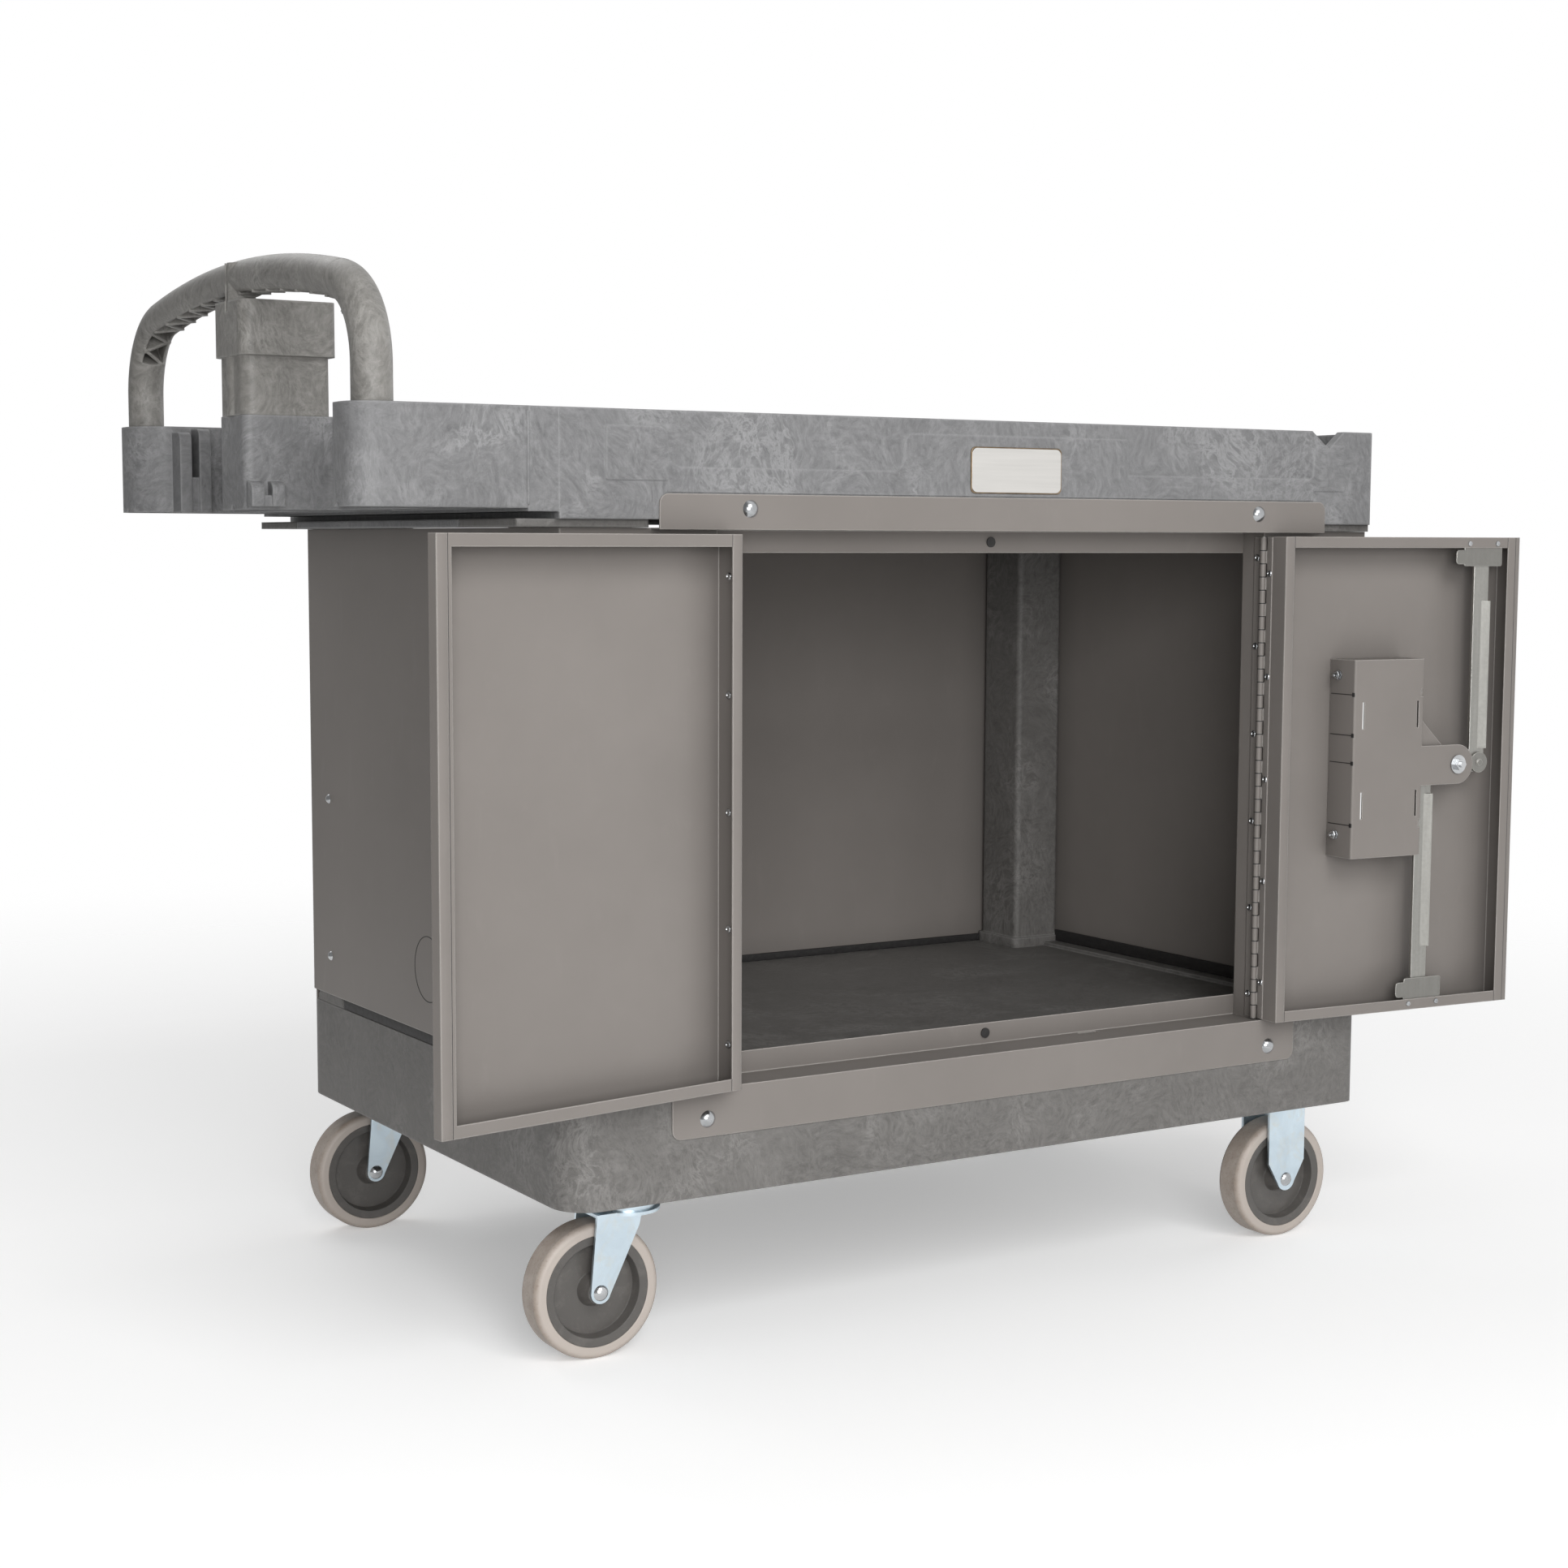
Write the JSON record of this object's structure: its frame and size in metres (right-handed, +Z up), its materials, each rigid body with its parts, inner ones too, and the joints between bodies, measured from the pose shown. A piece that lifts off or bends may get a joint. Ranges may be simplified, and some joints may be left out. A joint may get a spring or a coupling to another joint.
{
  "type": "utility cart",
  "caption": "Wheeled utility cart with a lipped tray top, a moulded push handle and console, a two-door steel cabinet with a two-rod latch, and swivel and rigid casters.",
  "frame": {"origin": "on the floor under the middle of the base", "axes": "+X along the cart away from the push handle, -Y out of the doors, +Z up"},
  "size_m": [1.3188, 0.7107, 1.0029],
  "materials": {
    "resin": "marbled structural resin, satin",
    "grip": "marbled structural resin, satin",
    "paint": "satin powder coat",
    "zinc": "bright zinc plate",
    "steel": "galvanised",
    "plate": "brushed",
    "bumper": "matt",
    "tyre": "matt grey, non-marking",
    "wheel_core": "matt, moulded"
  },
  "bodies": {
    "cart": {"base_deck": "resin", "post_front_left": "resin", "post_front_right": "resin", "post_back_left": "resin", "post_back_right": "resin", "upper_tray": "resin", "handle_console": "resin", "push_handle": "grip", "side_panel_left": "paint", "side_panel_right": "paint", "back_panel": "paint", "head_frame": "paint", "sill_frame": "paint", "stile_left": "paint", "stile_right": "paint", "frame_leaf_left": "steel", "frame_leaf_right": "steel", "hinge_pin_left": "steel", "hinge_pin_right": "steel", "flange_bolts": "zinc", "panel_screws": "zinc", "name_plate": "plate", "door_bumpers": "bumper", "swivel_plate_front": "zinc", "swivel_plate_back": "zinc", "rigid_fork_front": "zinc", "rigid_fork_back": "zinc", "axle_rigid_front": "zinc", "axle_rigid_back": "zinc"},
    "left_door": {"left_door_pan": "paint", "left_door_leaf": "steel"},
    "right_door": {"right_door_pan": "paint", "right_door_leaf": "steel", "latch_box": "paint", "rod_guide_upper": "steel", "rod_guide_lower": "steel"},
    "latch": {"latch_lever": "zinc", "latch_cam": "zinc", "latch_nut": "zinc"},
    "upper_rod": {"lock_rod_upper": "steel"},
    "lower_rod": {"lock_rod_lower": "steel"},
    "swivel_front": {"swivel_fork_front": "zinc", "axle_swivel_front": "zinc"},
    "swivel_wheel_front": {"tyre_swivel_front": "tyre", "core_swivel_front": "wheel_core"},
    "rigid_wheel_front": {"tyre_rigid_front": "tyre", "core_rigid_front": "wheel_core"},
    "swivel_back": {"swivel_fork_back": "zinc", "axle_swivel_back": "zinc"},
    "swivel_wheel_back": {"tyre_swivel_back": "tyre", "core_swivel_back": "wheel_core"},
    "rigid_wheel_back": {"tyre_rigid_back": "tyre", "core_rigid_back": "wheel_core"}
  },
  "joints": [
    {"name": "left_door", "type": "hinge", "parent": "cart", "child": "left_door", "pos_m": [-0.3135, -0.3074, 0.5], "axis": [0, 0, 1], "range_deg": [-4, 171]},
    {"name": "right_door", "type": "hinge", "parent": "cart", "child": "right_door", "pos_m": [0.3315, -0.3074, 0.5], "axis": [0, 0, 1], "range_deg": [-176, 0]},
    {"name": "latch_turn", "type": "hinge", "parent": "right_door", "child": "latch", "pos_m": [0.56264, -0.32356, 0.5115], "axis": [-0.0698, -0.9976, 0], "range_deg": [0, 22]},
    {"name": "upper_rod_slide", "type": "slide", "parent": "right_door", "child": "upper_rod", "axis": [0, 0, 1], "range_m": [0, 0.0144]},
    {"name": "lower_rod_slide", "type": "slide", "parent": "right_door", "child": "lower_rod", "axis": [0, 0, -1], "range_m": [0, 0.0144]},
    {"name": "swivel_front", "type": "hinge", "parent": "cart", "child": "swivel_front", "pos_m": [-0.388, -0.2619, 0.15], "axis": [0, 0, 1], "continuous": true},
    {"name": "spin_swivel_front", "type": "hinge", "parent": "swivel_front", "child": "swivel_wheel_front", "pos_m": [-0.4262, -0.2619, 0.0635], "axis": [0, 1, 0], "continuous": true},
    {"name": "spin_rigid_front", "type": "hinge", "parent": "cart", "child": "rigid_wheel_front", "pos_m": [0.405, -0.2619, 0.0635], "axis": [0, 1, 0], "continuous": true},
    {"name": "swivel_back", "type": "hinge", "parent": "cart", "child": "swivel_back", "pos_m": [-0.388, 0.2619, 0.15], "axis": [0, 0, 1], "continuous": true},
    {"name": "spin_swivel_back", "type": "hinge", "parent": "swivel_back", "child": "swivel_wheel_back", "pos_m": [-0.4262, 0.2619, 0.0635], "axis": [0, 1, 0], "continuous": true},
    {"name": "spin_rigid_back", "type": "hinge", "parent": "cart", "child": "rigid_wheel_back", "pos_m": [0.405, 0.2619, 0.0635], "axis": [0, 1, 0], "continuous": true}
  ],
  "couplings": [
    {"joint": "upper_rod_slide", "follows": "latch_turn", "m_per_rad": 0.03707},
    {"joint": "lower_rod_slide", "follows": "latch_turn", "m_per_rad": 0.03707}
  ]
}
